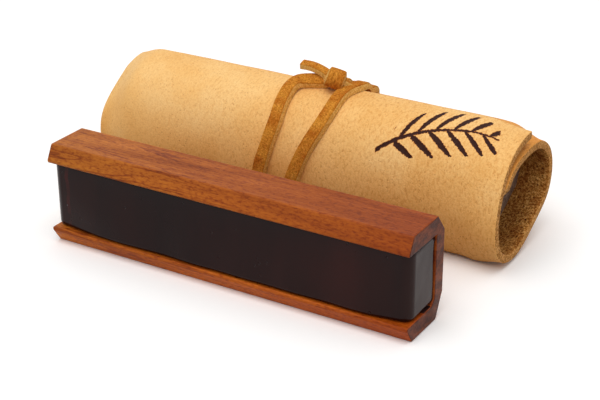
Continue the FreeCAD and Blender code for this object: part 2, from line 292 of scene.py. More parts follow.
def roll_point(along, angle, inset):
    """Point of the roll's section, along X from the second cake's middle, angle in degrees from +Y."""
    right = smooth(1 + (along - HOLDER_LENGTH / 2 - RIGHT_OVERHANG) / RIGHT_SAG_LENGTH)
    left = smooth(1 - (along + HOLDER_LENGTH / 2 + LEFT_OVERHANG) / LEFT_SAG_LENGTH)
    turn = math.radians(angle)
    middle = wave_radius(MIDDLE_WAVES, turn)
    radius = middle - inset
    radius += right * (wave_radius(RIGHT_WAVES, turn) - middle)
    radius += left * (wave_radius(LEFT_WAVES, turn) - middle)
    y = ROLL_Y + LEFT_SWING * left + radius * math.cos(turn)
    z = ROLL_Z - RIGHT_SAG * right - LEFT_SAG * left + radius * math.sin(turn)
    return Vector((ROLL_X + along, y, z))


def roll_normal(along, angle, inset_of):
    """The way the roll's section faces there, in the YZ plane."""
    after = roll_point(along, angle + 1, inset_of(angle + 1))
    run = after - roll_point(along, angle - 1, inset_of(angle - 1))
    return Vector((0, run.z, -run.y)).normalized()


# ---------------------------------------------------------------- materials

def tint(code):
    """Linear colour of an sRGB hex value."""
    parts = [int(code[k:k + 2], 16) / 255 for k in (1, 3, 5)]
    return [c / 12.92 if c <= 0.04045 else ((c + 0.055) / 1.055) ** 2.4 for c in parts] + [1.0]


def add(tree, kind, feeds=(), stops=(), **settings):
    """Adds a node and gives its first output. Feeds go to its sockets, in order or by name: values, hex
    colours or other nodes' outputs. Stops are a ramp's places and colours."""
    node = tree.nodes.new("ShaderNode" + kind)
    for name, value in settings.items():
        setattr(node, name, value)
    for place, colour in stops[2:]:
        node.color_ramp.elements.new(place)
    for step, (place, colour) in enumerate(stops):
        node.color_ramp.elements[step].position = place
        node.color_ramp.elements[step].color = tint(colour)
    if not isinstance(feeds, dict):
        feeds = dict(zip([socket.identifier for socket in node.inputs if socket.enabled], feeds))
    for name, feed in feeds.items():
        socket = next(s for s in node.inputs if name in (s.identifier, s.name))
        if isinstance(feed, bpy.types.NodeSocket):
            tree.links.new(feed, socket)
        else:
            socket.default_value = tint(feed) if isinstance(feed, str) else feed
    return next((output for output in node.outputs if output.enabled), None)


def begin(name):
    """A new material with its tree and shader."""
    material = bpy.data.materials.new(name)
    material.use_nodes = True
    tree = material.node_tree
    tree.nodes.clear()
    surface = add(tree, "BsdfPrincipled")
    add(tree, "OutputMaterial", [surface])
    return material, tree, surface.node


def dress(tree, shader, colour, roughness, height, depth):
    """Joins colour, roughness and a bump of the given depth in millimetres to the shader."""
    tree.links.new(colour, shader.inputs["Base Color"])
    tree.links.new(roughness, shader.inputs["Roughness"])
    bump = add(tree, "Bump", {"Height": height, "Strength": 1.0, "Distance": depth * MM})
    tree.links.new(bump, shader.inputs["Normal"])


def oiled_hardwood(name, end_stops):
    """Reddish-brown hardwood, sawn, sanded along the grain and oiled: dark figure and short pore
    flecks run lengthwise over slow bands of colour. It is redder to the right, and low down it is painted
    yellower and lighter, as painted light from the table. Painted shade darkens the sill's top in the gap
    under the rosin bar. Its end grain has the colours given: dark where it drank oil, and grey where rosin
    dust lies on it."""
    material, tree, shader = begin(name)
    where = add(tree, "TexCoord").node.outputs["Object"]
    facing = add(tree, "TexCoord").node.outputs["Normal"]
    place = add(tree, "SeparateXYZ", [where]).node.outputs
    lengthwise = add(tree, "Mapping", {"Vector": where, "Scale": (0.07, 1, 1)})
    short = add(tree, "Mapping", {"Vector": where, "Scale": (0.42, 1, 1)})
    bands = add(tree, "TexNoise", {"Vector": lengthwise, "Scale": 0.17 / MM, "Detail": 4.0, "Roughness": 0.55,
                                   "Distortion": 0.7})
    figure = add(tree, "TexNoise", {"Vector": lengthwise, "Scale": 0.30 / MM, "Detail": 3.0, "Roughness": 0.5,
                                    "Distortion": 1.2})
    fleck = add(tree, "TexNoise", {"Vector": short, "Scale": 2.1 / MM, "Detail": 3.0, "Roughness": 0.6})
    pore = add(tree, "TexNoise", {"Vector": lengthwise, "Scale": 4.2 / MM, "Detail": 2.0, "Roughness": 0.5})
    side = add(tree, "ValToRGB", [bands], stops=[(0.30, "#904a12"), (0.46, "#ac621c"), (0.58, "#bc7022"),
                                                 (0.75, "#ca7e29")])
    line = add(tree, "Math", [add(tree, "Math", [figure, 0.5], operation="SUBTRACT")], operation="ABSOLUTE")
    vein = add(tree, "ValToRGB", [line], stops=[(0.0, "#94604a"), (0.010, "#c49480"), (0.03, "#ffffff")])
    left_only = add(tree, "MapRange", [place["X"], 20 * MM, -15 * MM, 0.0, 0.7])
    side = add(tree, "Mix", [left_only, side, vein], **MULTIPLY)
    reddening = add(tree, "ValToRGB", [add(tree, "MapRange", [place["X"], -45 * MM, 45 * MM])],
                    stops=[(0.0, "#ffffff"), (0.5, "#f2dccc"), (1.0, "#dab08e")])
    side = add(tree, "Mix", [1.0, side, reddening], **MULTIPLY)
    speckle = add(tree, "ValToRGB", [fleck], stops=[(0.34, "#b88c78"), (0.47, "#eee0d6"), (0.60, "#ffffff")])
    side = add(tree, "Mix", [0.75, side, speckle], **MULTIPLY)
    slit = add(tree, "ValToRGB", [pore], stops=[(0.30, "#b08068"), (0.42, "#ffffff")])
    side = add(tree, "Mix", [0.55, side, slit], **MULTIPLY)
    # Painted light: low down, for the light the white table throws back on the sill, it is painted yellower
    # and lighter, by shares that may pass 1.
    bounce_light_band = add(tree, "MapRange", [place["Z"], 4.6 * MM, 3.0 * MM])
    painted_bounce_light = add(tree, "Mix", [1.0, side, (1.5, 1.28, 0.5, 1.0)], **MULTIPLY)
    side = add(tree, "Mix", [bounce_light_band, side, painted_bounce_light], data_type="RGBA")
    # Painted shade: the sill's top under the back half of the bar is painted dark for the shaded gap beneath
    # the bar, and it shows past the bar's ends.
    upward = add(tree, "Math", [add(tree, "SeparateXYZ", [facing]).node.outputs["Z"], 0.9],
                 operation="GREATER_THAN")
    below = add(tree, "MapRange", [place["Z"], 7.5 * MM, 6.5 * MM])
    low = add(tree, "Math", [upward, below], operation="MULTIPLY")
    spread = add(tree, "Math", [place["X"], 0.015, place["Y"]], operation="MULTIPLY_ADD")
    behind = add(tree, "MapRange", [spread, 0.3 * MM, 0.7 * MM])
    painted_gap_shade = add(tree, "Math", [low, behind], operation="MULTIPLY")
    side = add(tree, "Mix", [painted_gap_shade, side, "#2c1410"], data_type="RGBA")
    sawn = add(tree, "Mapping", {"Vector": where, "Scale": (0.05, 0.5, 1.2)})
    rings = add(tree, "TexNoise", {"Vector": sawn, "Scale": 0.55 / MM, "Detail": 3.0, "Roughness": 0.5,
                                   "Distortion": 0.5})
    end = add(tree, "ValToRGB", [rings], stops=end_stops)
    dots = add(tree, "TexNoise", {"Vector": where, "Scale": 2.6 / MM, "Detail": 2.0})
    stipple = add(tree, "ValToRGB", [dots], stops=[(0.36, "#8a6f68"), (0.5, "#ffffff")])
    end = add(tree, "Mix", [0.7, end, stipple], **MULTIPLY)
    endwise = add(tree, "Math", [add(tree, "SeparateXYZ", [facing])], operation="ABSOLUTE")
    is_end = add(tree, "Math", [endwise, 0.7], operation="GREATER_THAN")
    colour = add(tree, "Mix", [is_end, side, end], data_type="RGBA")
    rough = add(tree, "MapRange", [bands, 0.3, 0.7, 0.58, 0.44])
    height = add(tree, "Math", [fleck, 0.5, pore], operation="MULTIPLY_ADD")
    dress(tree, shader, colour, rough, height, 0.05)
    shader.inputs["IOR"].default_value = 1.48
    shader.inputs["Specular IOR Level"].default_value = 0.18
    return material


def cast_rosin():
    """Rosin, melted and poured into its channel: a dark red glass that looks nearly black, with a
    poured skin that ripples slightly, one thin red flow line and a few bubbles that broke at its surface."""
    material, tree, shader = begin("cast_rosin")
    where = add(tree, "TexCoord").node.outputs["Object"]
    drawn_out = add(tree, "Mapping", {"Vector": where, "Scale": (1, 0.35, 0.35)})
    depth = add(tree, "TexNoise", {"Vector": drawn_out, "Scale": 0.05 / MM, "Detail": 3.0})
    colour = add(tree, "ValToRGB", [depth], stops=[(0.35, "#170606"), (0.55, "#230a08"), (0.75, "#2e0e0b")])
    upright = add(tree, "Mapping", {"Vector": where, "Scale": (0, 0, 1)})
    wander = add(tree, "TexNoise", {"Vector": upright, "Scale": 0.2 / MM, "Detail": 2.0})
    across = add(tree, "SeparateXYZ", [where])
    thread = add(tree, "Math", [wander, 2.2 * MM, across], operation="MULTIPLY_ADD")
    thread = add(tree, "Math", [thread, THREAD_X * MM, 0.5 * MM], operation="COMPARE")
    faint = add(tree, "MapRange", [wander, 0.35, 0.6, 0.0, 0.7])
    red = add(tree, "Math", [thread, faint], operation="MULTIPLY")
    colour = add(tree, "Mix", [red, colour, "#451412"], data_type="RGBA")
    facing = add(tree, "SeparateXYZ", [add(tree, "TexCoord").node.outputs["Normal"]])
    colour = add(tree, "Mix", [add(tree, "Math", [facing], operation="ABSOLUTE"), colour, "#2b1512"],
                 data_type="RGBA")
    dust = add(tree, "TexNoise", {"Vector": where, "Scale": 1.6 / MM, "Detail": 4.0, "Roughness": 0.6})
    rough = add(tree, "MapRange", [dust, 0.35, 0.7, 0.14, 0.27])
    pits = add(tree, "TexVoronoi", {"Vector": where, "Scale": 0.42 / MM})
    few = add(tree, "TexNoise", {"Vector": where, "Scale": 0.16 / MM, "Detail": 1.0})
    bubble = add(tree, "MapRange", [pits, 0.09, 0.15, 0.0, 1.0])
    spare = add(tree, "MapRange", [few, 0.52, 0.57, 1.0, 0.0])
    open_pit = add(tree, "Math", [bubble, spare], operation="MAXIMUM")
    lengthwise = add(tree, "Mapping", {"Vector": where, "Scale": (0.5, 1, 1)})
    ripple = add(tree, "TexNoise", {"Vector": lengthwise, "Scale": 0.08 / MM, "Detail": 2.0})
    skin = add(tree, "Math", [ripple, 3.0], operation="MULTIPLY")
    height = add(tree, "Math", [open_pit, 1.2, skin], operation="MULTIPLY_ADD")
    dress(tree, shader, colour, rough, height, 0.12)
    shader.inputs["IOR"].default_value = 1.53
    shader.inputs["Specular IOR Level"].default_value = 0.12
    return material


def fern_sprig(tree, cut, centre, turn, length, reach):
    """Height of a burned sprig of paired leaflets on a bent stem, above 0 inside its strokes. Past the
    Mapping node, places are in millimetres from its middle."""
    ragged = add(tree, "TexNoise", {"Vector": cut, "Scale": 1.9 / MM, "Detail": 3.0}).node.outputs["Color"]
    shift = add(tree, "VectorMath", [ragged, (0.5, 0.5, 0.5)], operation="SUBTRACT")
    uneven = add(tree, "VectorMath", {"Vector": shift, "Scale": 0.8 * MM}, operation="SCALE")
    moved = add(tree, "VectorMath", [cut, uneven], operation="ADD")
    local = add(tree, "Mapping", {"Vector": moved, "Location": (centre[0] * MM, centre[1] * MM, 0),
                                  "Rotation": (0, 0, math.radians(turn)), "Scale": (MM, MM, MM)},
                vector_type="TEXTURE")
    split = add(tree, "SeparateXYZ", [local]).node.outputs
    along = add(tree, "Math", [split["X"], length / 2], operation="ADD")
    before_end = add(tree, "Math", [length, along], operation="SUBTRACT")
    bow = add(tree, "Math", [along, before_end], operation="MULTIPLY")
    off = add(tree, "Math", [bow, 0.014, split["Y"]], operation="MULTIPLY_ADD")
    away = add(tree, "Math", [off], operation="ABSOLUTE")
    share = add(tree, "Math", [along, length], operation="DIVIDE", use_clamp=True)
    rest = add(tree, "Math", [1.1, share], operation="SUBTRACT")
    swell = add(tree, "Math", [add(tree, "Math", [share, rest], operation="MULTIPLY")], operation="SQRT")
    leaf = add(tree, "Math", [swell, 2 * reach, 0.02], operation="MULTIPLY_ADD")
    out = add(tree, "Math", [away, leaf], operation="DIVIDE")
    side = add(tree, "Math", [off], operation="SIGN")
    start = add(tree, "Math", [away, -0.8, along], operation="MULTIPLY_ADD")
    slant = add(tree, "Math", [side, 0.8, start], operation="MULTIPLY_ADD")
    cell = add(tree, "Math", [slant, LEAFLET_SPACING], operation="DIVIDE")
    cell = add(tree, "Math", [cell], operation="FRACT")
    edge = add(tree, "Math", [add(tree, "Math", [cell, 0.5], operation="SUBTRACT")], operation="ABSOLUTE")
    left_over = add(tree, "Math", [1.0, out], operation="SUBTRACT", use_clamp=True)
    body = add(tree, "Math", [add(tree, "Math", [out, left_over], operation="MULTIPLY")], operation="SQRT")
    full = add(tree, "Math", [body, 1.65], operation="MULTIPLY")
    leaflet = add(tree, "Math", [edge, -4.3, full], operation="MULTIPLY_ADD")
    past_tip = add(tree, "Math", [out, 0.96], operation="GREATER_THAN")
    leaflet = add(tree, "Math", [past_tip, -4.0, leaflet], operation="MULTIPLY_ADD")
    leaflet = add(tree, "Math", [leaflet, add(tree, "Math", [along, 1.5], operation="SUBTRACT")],
                  operation="MINIMUM")
    width = add(tree, "Math", [share, -0.3, 0.5], operation="MULTIPLY_ADD")
    stem = add(tree, "Math", [width, away], operation="SUBTRACT")
    stroke = add(tree, "Math", [leaflet, stem], operation="MAXIMUM")
    before_start = add(tree, "Math", [along, 3.0], operation="ADD")
    ends = add(tree, "Math", [before_start, before_end], operation="MINIMUM")
    return add(tree, "Math", [stroke, ends], operation="MINIMUM")


def smooth_leather():
    """Vegetable-tanned leather, grain side out: honey-coloured from its tan, with painted shade that
    darkens it away from the flap's edge, with slow clouds of colour, wrinkles that show more to the right,
    follicle pores in loose drifts that are painted denser in that shade, and a sprig burned in with a hot
    point."""
    material, tree, shader = begin("vegetable_tanned_leather")
    cut = add(tree, "UVMap", uv_map="cut")
    cloud = add(tree, "TexNoise", {"Vector": cut, "Scale": 0.04 / MM, "Detail": 4.0, "Roughness": 0.6})
    colour = add(tree, "ValToRGB", [cloud], stops=[(0.30, "#eeb465"), (0.5, "#f8c57b"), (0.72, "#fdd390")])
    turned = add(tree, "Mapping", {"Vector": cut, "Rotation": (0, 0, 0.6), "Scale": (1, 0.55, 1)})
    wrinkle = add(tree, "TexNoise", {"Vector": turned, "Scale": 1.7 / MM, "Detail": 3.0, "Roughness": 0.6,
                                     "Distortion": 0.6})
    crease = add(tree, "ValToRGB", [wrinkle], stops=[(0.30, "#c79c69"), (0.42, "#f0dcc2"), (0.54, "#ffffff")])
    place = add(tree, "SeparateXYZ", [cut]).node.outputs
    # Painted shade: from 18 to 46 mm past the flap's edge, round the roll's front and down its lower side,
    # the tan is painted deeper and the pores darker and denser.
    far = add(tree, "MapRange", [place["Y"], 18 * MM, 46 * MM])
    painted_shade_tint = add(tree, "Mix", [1.0, colour, "#f3d6a4"], **MULTIPLY)
    colour = add(tree, "Mix", [far, colour, painted_shade_tint], data_type="RGBA")
    handled = add(tree, "MapRange", [place["X"], -50 * MM, 20 * MM, 0.2, 0.48])
    colour = add(tree, "Mix", [handled, colour, crease], **MULTIPLY)
    pores = add(tree, "TexVoronoi", {"Vector": cut, "Scale": 1.25 / MM})
    drift = add(tree, "TexNoise", {"Vector": cut, "Scale": 0.13 / MM, "Detail": 2.0})
    thin = add(tree, "MapRange", [drift, 0.42, 0.62, 0.16, 0.30])
    hole = add(tree, "Math", [pores, thin], operation="DIVIDE", use_clamp=True)
    prick = add(tree, "ValToRGB", [hole], stops=[(0.35, "#b07a42"), (0.95, "#ffffff")])
    pores_and_painted_shade = add(tree, "Math", [far, 0.35, 0.38], operation="MULTIPLY_ADD")
    colour = add(tree, "Mix", [pores_and_painted_shade, colour, prick], **MULTIPLY)
    nap = add(tree, "TexNoise", {"Vector": cut, "Scale": 2.3 / MM, "Detail": 3.0, "Roughness": 0.6})
    grit = add(tree, "ValToRGB", [nap], stops=[(0.32, "#d2b494"), (0.6, "#ffffff")])
    colour = add(tree, "Mix", [0.28, colour, grit], **MULTIPLY)
    sprig = fern_sprig(tree, cut, SPRIG_CENTRE, SPRIG_TURN, SPRIG_LENGTH, SPRIG_REACH)
    scorch = add(tree, "ValToRGB", [add(tree, "Math", [sprig, 0.5], operation="ADD")], stops=[
        (0.36, "#ffffff"), (0.46, "#c48f56"), (0.53, "#4a2614"), (0.75, "#301509")])
    colour = add(tree, "Mix", [1.0, colour, scorch], **MULTIPLY)
    burned = add(tree, "Math", [sprig, 2.0], operation="MULTIPLY", use_clamp=True)
    height = add(tree, "Math", [wrinkle, 1.3, nap], operation="MULTIPLY_ADD")
    height = add(tree, "Math", [hole, 0.35, height], operation="MULTIPLY_ADD")
    height = add(tree, "Math", [burned, -0.9, height], operation="MULTIPLY_ADD")
    rough = add(tree, "MapRange", [wrinkle, 0.3, 0.7, 0.74, 0.58])
    dress(tree, shader, colour, rough, height, 0.11)
    shader.inputs["IOR"].default_value = 1.46
    shader.inputs["Specular IOR Level"].default_value = 0.22
    return material


def suede(name, light, middle, dark, per_mm, patch):
    """The flesh side of leather, buffed: a nap of short fibres that lie every way, so that it
    looks mottled and matt, with deep shade between the tufts. The tufts, so many to a millimetre, are
    drawn coarser than the real nap, so that they show."""
    material, tree, shader = begin(name)
    cut = add(tree, "UVMap", uv_map="cut")
    tufts = add(tree, "TexNoise", {"Vector": cut, "Scale": per_mm / MM, "Detail": 4.0, "Roughness": 0.75,
                                   "Distortion": 0.6})
    colour = add(tree, "ValToRGB", [tufts], stops=[(0.36, dark), (0.5, middle), (0.64, light)])
    patches = add(tree, "TexNoise", {"Vector": cut, "Scale": 0.28 / MM, "Detail": 3.0, "Roughness": 0.6})
    worn = add(tree, "ValToRGB", [patches], stops=[(0.34, patch), (0.6, "#ffffff")])
    colour = add(tree, "Mix", [0.8, colour, worn], **MULTIPLY)
    leaning = add(tree, "Mapping", {"Vector": cut, "Rotation": (0, 0, 0.5), "Scale": (1, 0.22, 1)})
    fibres = add(tree, "TexNoise", {"Vector": leaning, "Scale": 3.4 / MM, "Detail": 3.0, "Roughness": 0.6})
    height = add(tree, "Math", [fibres, 0.4, tufts], operation="MULTIPLY_ADD")
    rough = add(tree, "MapRange", [patches, 0.3, 0.7, 1.0, 0.88])
    dress(tree, shader, colour, rough, height, 0.3)
    shader.inputs["Specular IOR Level"].default_value = 0.1
    return material


def cut_edge(name, dark, middle, light):
    """The side of leather cut with a knife and left bare: packed fibres, mottled, pale and matt."""
    material, tree, shader = begin(name)
    where = add(tree, "TexCoord").node.outputs["Object"]
    layers = add(tree, "TexNoise", {"Vector": where, "Scale": 2.2 / MM, "Detail": 4.0, "Roughness": 0.7})
    colour = add(tree, "ValToRGB", [layers], stops=[(0.36, dark), (0.5, middle), (0.64, light)])
    rough = add(tree, "MapRange", [layers, 0.3, 0.7, 0.92, 0.78])
    dress(tree, shader, colour, rough, layers, 0.2)
    shader.inputs["Specular IOR Level"].default_value = 0.12
    return material


HARDWOOD = oiled_hardwood("oiled_hardwood", [(0.35, "#4a1f10"), (0.52, "#6b3219"), (0.7, "#864223")])
DUSTY_HARDWOOD = oiled_hardwood("rosin_dusted_hardwood",
                                [(0.35, "#6a5648"), (0.52, "#7a6456"), (0.7, "#8a7466")])
ROSIN = cast_rosin()
LEATHER = smooth_leather()
FLESH = suede("suede_inside_of_wrap", "#fcc878", "#c47d34", "#4a240c", 1.75, "#c4a484")
EDGE = cut_edge("cut_leather_edge", "#80501e", "#c68846", "#eeb872")
LACE = suede("suede_lace", "#f0a746", "#d68c2e", "#b06e20", 2.6, "#cfa06c")
LACE_SIDE = cut_edge("cut_lace_side", "#bf883e", "#dca552", "#eebc6e")


# ---------------------------------------------------------------- pieces

def shown(name, form, materials, body):
    """Turns a bmesh in millimetres to a smooth piece that rides on a body."""
    bmesh.ops.scale(form, vec=(MM, MM, MM), verts=form.verts)
    mesh = bpy.data.meshes.new(name)
    form.to_mesh(mesh)
    form.free()
    for material in materials:
        mesh.materials.append(material)
    mesh.shade_smooth()
    piece = bpy.data.objects.new(name, mesh)
    scene.collection.objects.link(piece)
    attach(piece, body)
    return piece


def node_copy(node, flat):
    """The node's own form in millimetres, with its flats made whole up to an angle in degrees."""
    form = bmesh.new()
    form.from_mesh(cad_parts[node].data)
    bmesh.ops.scale(form, vec=(1 / MM,) * 3, verts=form.verts)
    bmesh.ops.remove_doubles(form, verts=form.verts, dist=0.002)
    bmesh.ops.dissolve_limit(form, angle_limit=math.radians(flat), verts=form.verts, edges=form.edges)
    return form


def edges_over(form, angle):
    """Edges where the form turns by more than an angle in degrees."""
    return [edge for edge in form.edges if edge.is_manifold and edge.calc_face_angle() > math.radians(angle)]


def round_off(form, edges, width, segments):
    """Rounds edges by a width in millimetres."""
    bmesh.ops.bevel(form, geom=edges, offset=width, segments=segments, profile=0.5, affect="EDGES",
                    material=-1)


def cut_round(form, place, facing):
    """New edges round the form where a plane meets it, so that it can bend there."""
    everything = form.verts[:] + form.edges[:] + form.faces[:]
    bmesh.ops.bisect_plane(form, geom=everything, dist=0.001, plane_no=facing, plane_co=place)


def put_in_place(form, name, node, material, body):
    """Shows a form instead of its node, with its flats shaded flat."""
    piece = shown(name, form, [material], body)
    flats = piece.modifiers.new("flats", "WEIGHTED_NORMAL")
    flats.keep_sharp = False
    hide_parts(node)


def eased_copy(node, material, body, slot):
    """The node's own form with its edges sanded round."""
    form = node_copy(node, 2)
    round_off(form, edges_over(form, 20), HOLDER_EASE, EASE_SEGMENTS)
    put_in_place(form, node + "_" + slot, node, material, body)


def poured_copy(node, body):
    """The node's own rosin bar with the swell that it set with: low down its face crowns forward and
    waves a little along its length. Its upright back corners are rounded."""
    form = node_copy(node, 1)
    upright = [edge for edge in edges_over(form, 60)
               if abs(edge.verts[0].co.z - edge.verts[1].co.z) > HOLDER_HEIGHT * 0.4]
    round_off(form, upright, ROSIN_CORNER, CORNER_SEGMENTS)
    for step in range(1, int(HOLDER_LENGTH / SWELL_SLICE) + 1):
        cut_round(form, (-HOLDER_LENGTH / 2 + SWELL_SLICE * step, 0, 0), (1, 0, 0))
    for layer in range(3, 16):
        cut_round(form, (0, 0, HOLDER_HEIGHT * layer / SWELL_LAYERS), (0, 0, 1))
    for vert in form.verts:
        x, y, z = vert.co
        front = 1 - smooth((y - SWELL_BACK) / SWELL_DEPTH)
        inward = smooth((x + HOLDER_LENGTH / 2) / SWELL_LEFT_RUN)
        inward *= smooth((HOLDER_LENGTH / 2 - x) / SWELL_RIGHT_RUN)
        low = smooth((HOLDER_HEIGHT * 0.75 - z) / (HOLDER_HEIGHT * 0.5))
        low *= smooth((z - SWELL_START) / SWELL_FOOT_RUN)
        wave = noise.noise(Vector((x / SWELL_WAVE_LENGTH, 0, 5.0)))
        vert.co.y -= front * inward * low * (ROSIN_SWELL + SWELL_WAVE * wave)
    put_in_place(form, node + "_poured", node, ROSIN, body)


def wrapped_bar():
    """The second cake's bar keeps its node's form and takes the look of the rosin."""
    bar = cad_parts["wrapped_rosin"].data
    bar.materials.clear()
    bar.materials.append(ROSIN)


def lengths_along(places):
    """Length of the line through the places, up to each of them."""
    lengths = [0.0]
    for before, after in zip(places, places[1:]):
        lengths.append(lengths[-1] + (after - before).length)
    return lengths


def map_cut(form, flat):
    """Gives the form its places on the flat cut, in metres, as a UV map."""
    cut = form.loops.layers.uv.new("cut")
    for face in form.faces:
        for loop in face.loops:
            loop[cut].uv = flat[loop.vert.index]


def spiral_angles(count):
    """Angles that part the rolled sheet's length evenly, and that length."""
    turn = INNER_ANGLE - FLAP_ANGLE
    fine = [FLAP_ANGLE + turn * step / SPIRAL_STEPS for step in range(SPIRAL_STEPS + 1)]
    lengths = lengths_along([roll_point(0, a, sheet_inset(a) + LEATHER_THICKNESS / 2) for a in fine])
    angles, place = [], 0
    for step in range(count + 1):
        wanted = lengths[-1] * step / count
        while place < len(fine) - 2 and lengths[place + 1] < wanted:
            place += 1
        share = (wanted - lengths[place]) / (lengths[place + 1] - lengths[place])
        angles.append(fine[place] + (fine[place + 1] - fine[place]) * share)
    return angles, lengths[-1]


def roll_up_sheet():
    """A flat cut of leather, rolled up along the spiral."""
    angles, length = spiral_angles(SHEET_AROUND)
    form = bmesh.new()
    bmesh.ops.create_grid(form, x_segments=SHEET_ACROSS, y_segments=SHEET_AROUND, size=0.5)
    flat, fluffed = {}, {}
    for vert in form.verts:
        share, ring = vert.co.x + 0.5, round((vert.co.y + 0.5) * SHEET_AROUND)
        angle = angles[ring]
        from_flap = length * ring / SHEET_AROUND
        skew = EDGE_SKEW * (angle - FLAP_ANGLE) / 360
        trim = FLAP_CORNER_CUT * (1 - smooth((angle - FLAP_ANGLE) / FLAP_CORNER_SPAN))
        start = -HOLDER_LENGTH / 2 - LEFT_OVERHANG + trim + skew
        worn = INNER_CORNER * smooth((angle - INNER_ANGLE) / INNER_CORNER_SPAN + 1)
        end = HOLDER_LENGTH / 2 + RIGHT_OVERHANG + skew - worn
        along = start + (end - start) * share
        flat[vert.index] = (along * MM, from_flap * MM)
        fluffed[vert.index] = smooth(1 + (along - HOLDER_LENGTH / 2 - RIGHT_OVERHANG) / RIM_LENGTH)
        dent = DENT * (noise.noise(Vector((along / DENT_LENGTH, from_flap / DENT_LENGTH, 3.0))) - 0.6)
        place = resting_point(along, angle, soft_inset(along, angle))
        vert.co = place + roll_normal(along, angle, lambda a: soft_inset(along, a)) * dent
    map_cut(form, flat)
    form.faces.ensure_lookup_table()
    form.normal_update()
    sample = form.faces[len(form.faces) // 2]
    middle = Vector((0, ROLL_Y, ROLL_Z))
    if sample.normal.dot(sample.calc_center_median() - middle) < 0:
        bmesh.ops.reverse_faces(form, faces=form.faces)
    wrap = shown("rolled_leather", form, [LEATHER, FLESH, EDGE], "wrap")
    rim = wrap.vertex_groups.new(name="rim")
    for place, share in fluffed.items():
        if share > 0:
            rim.add([place], share, "REPLACE")
    wall = wrap.modifiers.new("thickness", "SOLIDIFY")
    wall.thickness = RIM_THICKNESS * MM
    wall.vertex_group = rim.name
    wall.thickness_vertex_group = LEATHER_THICKNESS / RIM_THICKNESS
    wall.offset = -1
    wall.use_even_offset = True
    wall.material_offset = 1
    wall.material_offset_rim = 2
    rounded = wrap.modifiers.new("worn_edges", "BEVEL")
    rounded.width = EDGE_WEAR * MM
    rounded.segments = 2
    rounded.limit_method = "ANGLE"
    rounded.angle_limit = math.radians(50)
    rounded.use_clamp_overlap = False
    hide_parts("leather_wrap")


def route_place(angle):
    """The lace's place along X at an angle of its route."""
    span = 0
    while span < len(LACE_ROUTE) - 2 and angle > LACE_ROUTE[span + 1][0]:
        span += 1
    before = LACE_ROUTE[max(span - 1, 0)]
    (a0, x0), (a1, x1) = LACE_ROUTE[span], LACE_ROUTE[span + 1]
    after = LACE_ROUTE[min(span + 2, len(LACE_ROUTE) - 1)]
    slope0 = (x1 - before[1]) / (a1 - before[0])
    slope1 = (after[1] - x0) / (after[0] - a0)
    t = (angle - a0) / (a1 - a0)
    ease0 = (1 + 2 * t) * (1 - t) ** 2 * x0 + t * (1 - t) ** 2 * (a1 - a0) * slope0
    ease1 = t * t * (3 - 2 * t) * x1 + t * t * (t - 1) * (a1 - a0) * slope1
    return ease0 + ease1


def lace_point(angle):
    """Under side of the lace on its way round the roll, the way it faces and its thickness there."""
    turn = angle % 360 if angle % 360 > FLAP_ANGLE else angle % 360 + 360
    along = route_place(angle) - ROLL_X
    normal = roll_normal(along, turn, lace_inset)
    over = smooth((angle - CROSSING_START) / CROSSING_RAMP) * smooth((CROSSING_END - angle) / CROSSING_FALL)
    pulled = smooth((START_LIFT_ANGLE - angle) / (START_LIFT_ANGLE - LACE_ROUTE[0][0]))
    free = smooth((normal.z + PRESSED_FACING) / PRESSED_RUN)
    height = LACE_CLEARANCE * (1 - FREE_DROP * free) + over * (LACE_LOFT + CROSSING_GAP) + START_LIFT * pulled
    thick = LACE_THICKNESS + (LACE_LOFT - LACE_THICKNESS) * free
    facing = Matrix.Rotation(math.radians(START_TILT * pulled), 3, "X") @ normal
    return roll_point(along, turn, lace_inset(turn)) + normal * height, facing, thick


def lay_lace(name, path, width=LACE_WIDTH):
    """A strip of lace along a path of places of its under side, the way it faces and its thickness."""
    form = bmesh.new()
    count, sides = len(path) - 1, len(LACE_SECTION)
    bmesh.ops.create_grid(form, x_segments=sides, y_segments=count, size=0.5)
    lengths = lengths_along([under for under, facing, thick in path])
    flat, columns = {}, {}
    for vert in form.verts:
        column, step = round((vert.co.x + 0.5) * sides), round((vert.co.y + 0.5) * count)
        under, facing, thick = path[step]
        run = (path[min(step + 1, count)][0] - path[max(step - 1, 0)][0]).normalized()
        across = run.cross(facing).normalized()
        face = across.cross(run).normalized()
        off, height = LACE_SECTION[column % sides]
        wavy = 1 + LACE_WAVE * noise.noise(Vector((lengths[step] / LACE_WAVE_LENGTH, off * 3, 7.0)))
        flat[vert.index] = ((column / sides * LACE_GIRTH - 1) * width * MM, lengths[step] * MM)
        columns[vert.index] = column
        vert.co = under + across * off * wavy * width / 2 + face * height * thick
    map_cut(form, flat)
    for face in form.faces:
        face.material_index = int(min(columns[vert.index] for vert in face.verts) in LACE_SIDES)
    bmesh.ops.remove_doubles(form, verts=form.verts, dist=0.0005)
    bmesh.ops.holes_fill(form, edges=form.edges, sides=0)
    bmesh.ops.recalc_face_normals(form, faces=form.faces)
    strip = shown(name, form, [LACE, LACE_SIDE], "lace")
    strip.data.set_sharp_from_angle(angle=math.radians(40))
    return strip


def spline(points, count):
    """Places along a smooth line through points, each a tuple of numbers."""
    last = len(points) - 1
    places = []
    for step in range(count + 1):
        t = last * step / count
        span = min(int(t), last - 1)
        t -= span
        p0, p1 = points[max(span - 1, 0)], points[span]
        p2, p3 = points[span + 1], points[min(span + 2, last)]
        places.append(Vector([
            0.5 * (2 * b + (c - a) * t + (2 * a - 5 * b + 4 * c - d) * t * t
                   + (3 * b - a - 3 * c + d) * t ** 3)
            for a, b, c, d in zip(p0, p1, p2, p3)
        ]))
    return places


